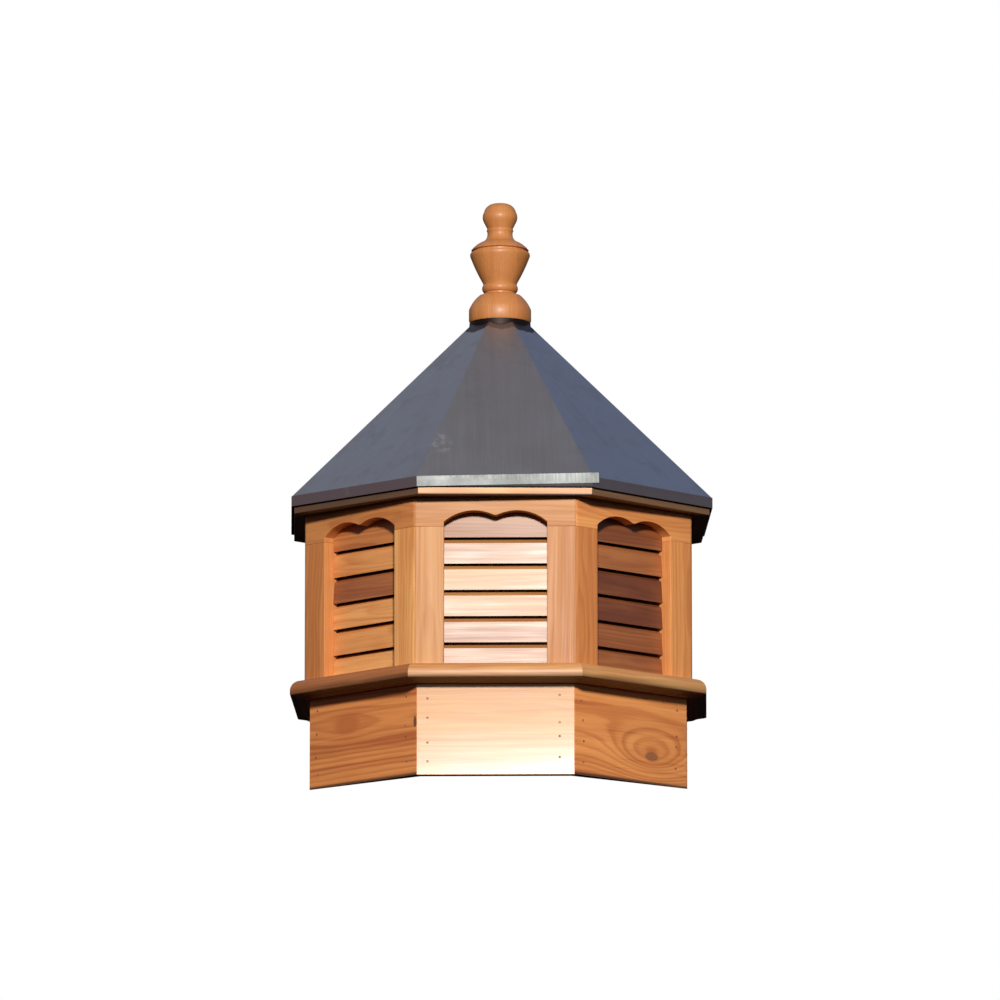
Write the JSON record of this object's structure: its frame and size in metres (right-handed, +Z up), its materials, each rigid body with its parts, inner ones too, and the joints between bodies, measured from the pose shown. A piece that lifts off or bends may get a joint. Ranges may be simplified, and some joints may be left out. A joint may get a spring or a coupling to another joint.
{
  "type": "octagonal louvred cupola",
  "caption": "Octagonal wooden roof cupola with fixed louvres under scalloped headers, a bullnose ledge, a folded metal roof and a turned wooden finial.",
  "frame": {"origin": "centre of the octagonal skirt, on the plane of its lower edges", "axes": "+Z up through the finial, -Y out of the front louvred face, +X to the right of it"},
  "size_m": [0.8698, 0.8698, 1.2373],
  "materials": {
    "cedar_skirt": "varnished cedar, horizontal grain, satin gloss",
    "cedar_frame": "varnished cedar, grain along each member, satin gloss",
    "cedar_louvre": "varnished cedar, colour varied from slat to slat, satin gloss",
    "cedar_ledge": "varnished cedar moulding, satin gloss",
    "cedar_eave": "varnished cedar boards, satin gloss",
    "cedar_turned": "turned and varnished cedar, satin gloss",
    "softwood_block": "plain sawn softwood, unfinished",
    "deck_plywood": "sanded plywood, unfinished",
    "roof_metal": "smooth blue-grey sheet, mirror-like along its turned edge",
    "collar_metal": "smooth dark grey sheet"
  },
  "bodies": {
    "root": {"drip_strip_front": "roof_metal", "drip_strips": "roof_metal", "eave_boards_diagonal": "cedar_eave", "eave_boards_square": "cedar_eave", "finial": "cedar_turned", "header_back": "cedar_frame", "header_back_left": "cedar_frame", "header_back_right": "cedar_frame", "header_front": "cedar_frame", "header_front_left": "cedar_frame", "header_front_right": "cedar_frame", "header_left": "cedar_frame", "header_right": "cedar_frame", "ledge_mouldings_diagonal": "cedar_ledge", "ledge_mouldings_square": "cedar_ledge", "louvres_back": "cedar_louvre", "louvres_back_left": "cedar_louvre", "louvres_back_right": "cedar_louvre", "louvres_front": "cedar_louvre", "louvres_front_left": "cedar_louvre", "louvres_front_right": "cedar_louvre", "louvres_left": "cedar_louvre", "louvres_right": "cedar_louvre", "roof_collar": "collar_metal", "roof_deck_diagonal": "deck_plywood", "roof_deck_square": "deck_plywood", "roof_hub": "softwood_block", "roof_sheet": "roof_metal", "sill_rails_diagonal": "cedar_frame", "sill_rails_square": "cedar_frame", "skirt_board_back": "cedar_skirt", "skirt_board_back_left": "cedar_skirt", "skirt_board_back_right": "cedar_skirt", "skirt_board_front": "cedar_skirt", "skirt_board_front_left": "cedar_skirt", "skirt_board_front_right": "cedar_skirt", "skirt_board_left": "cedar_skirt", "skirt_board_right": "cedar_skirt", "skirt_cleats": "softwood_block", "stiles_left": "cedar_frame", "stiles_right": "cedar_frame"}
  },
  "joints": []
}
